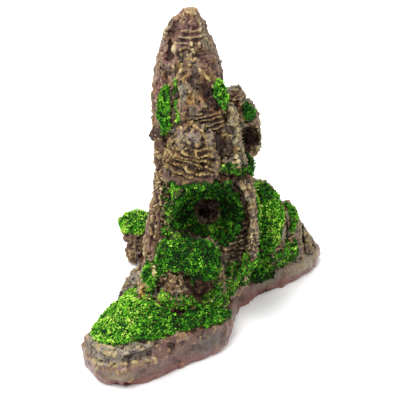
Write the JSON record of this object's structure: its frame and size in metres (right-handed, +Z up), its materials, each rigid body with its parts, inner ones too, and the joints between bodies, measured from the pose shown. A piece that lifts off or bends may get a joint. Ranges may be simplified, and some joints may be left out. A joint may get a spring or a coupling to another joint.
{
  "type": "resin cave ornament",
  "caption": "Cast resin rock peak for an aquarium: a turf-lined grotto, a burrow and ledges on a hollow foot, dressed with green turf.",
  "frame": {"origin": "middle of the footprint's box, on the underside", "axes": "+Z up to the tip of the peak, -Y out of the grotto's front, +X to the side with the long arm and the terraces"},
  "size_m": [0.1164, 0.1274, 0.1504],
  "materials": {
    "brown_resin": "cast polyester resin in reddish brown, dry-brushed with ochre, satin clear coat",
    "umber_resin": "cast polyester resin in dark umber with ochre ridges, satin clear coat",
    "grey_resin": "cast polyester resin in warm grey with dark hollows, satin clear coat",
    "tan_resin": "cast polyester resin in tan with brown hollows, satin clear coat",
    "green_turf": "flocked pad of green foam and sand grains in glue, matt"
  },
  "bodies": {
    "root": {"base_slab": "brown_resin", "main_crag": "brown_resin", "tall_spire": "brown_resin", "buttress": "brown_resin", "upper_terrace": "brown_resin", "left_ledge": "brown_resin", "rear_step": "brown_resin", "middle_crag": "umber_resin", "ribbed_boulder": "umber_resin", "side_outcrop": "grey_resin", "left_lump": "grey_resin", "right_shoulder": "tan_resin", "right_fin": "tan_resin", "right_slope": "tan_resin", "alcove_rock": "tan_resin", "left_step": "tan_resin", "lower_terrace": "tan_resin", "corner_rock": "tan_resin", "tongue_turf": "green_turf", "slope_turf": "green_turf", "buttress_turf": "green_turf", "step_turf": "green_turf", "upper_terrace_turf": "green_turf", "lower_terrace_turf": "green_turf", "brow_turf": "green_turf", "ledge_turf": "green_turf", "spire_turf": "green_turf", "crag_turf": "green_turf", "outcrop_turf": "green_turf", "rear_turf": "green_turf", "grotto_turf": "green_turf"}
  },
  "joints": []
}
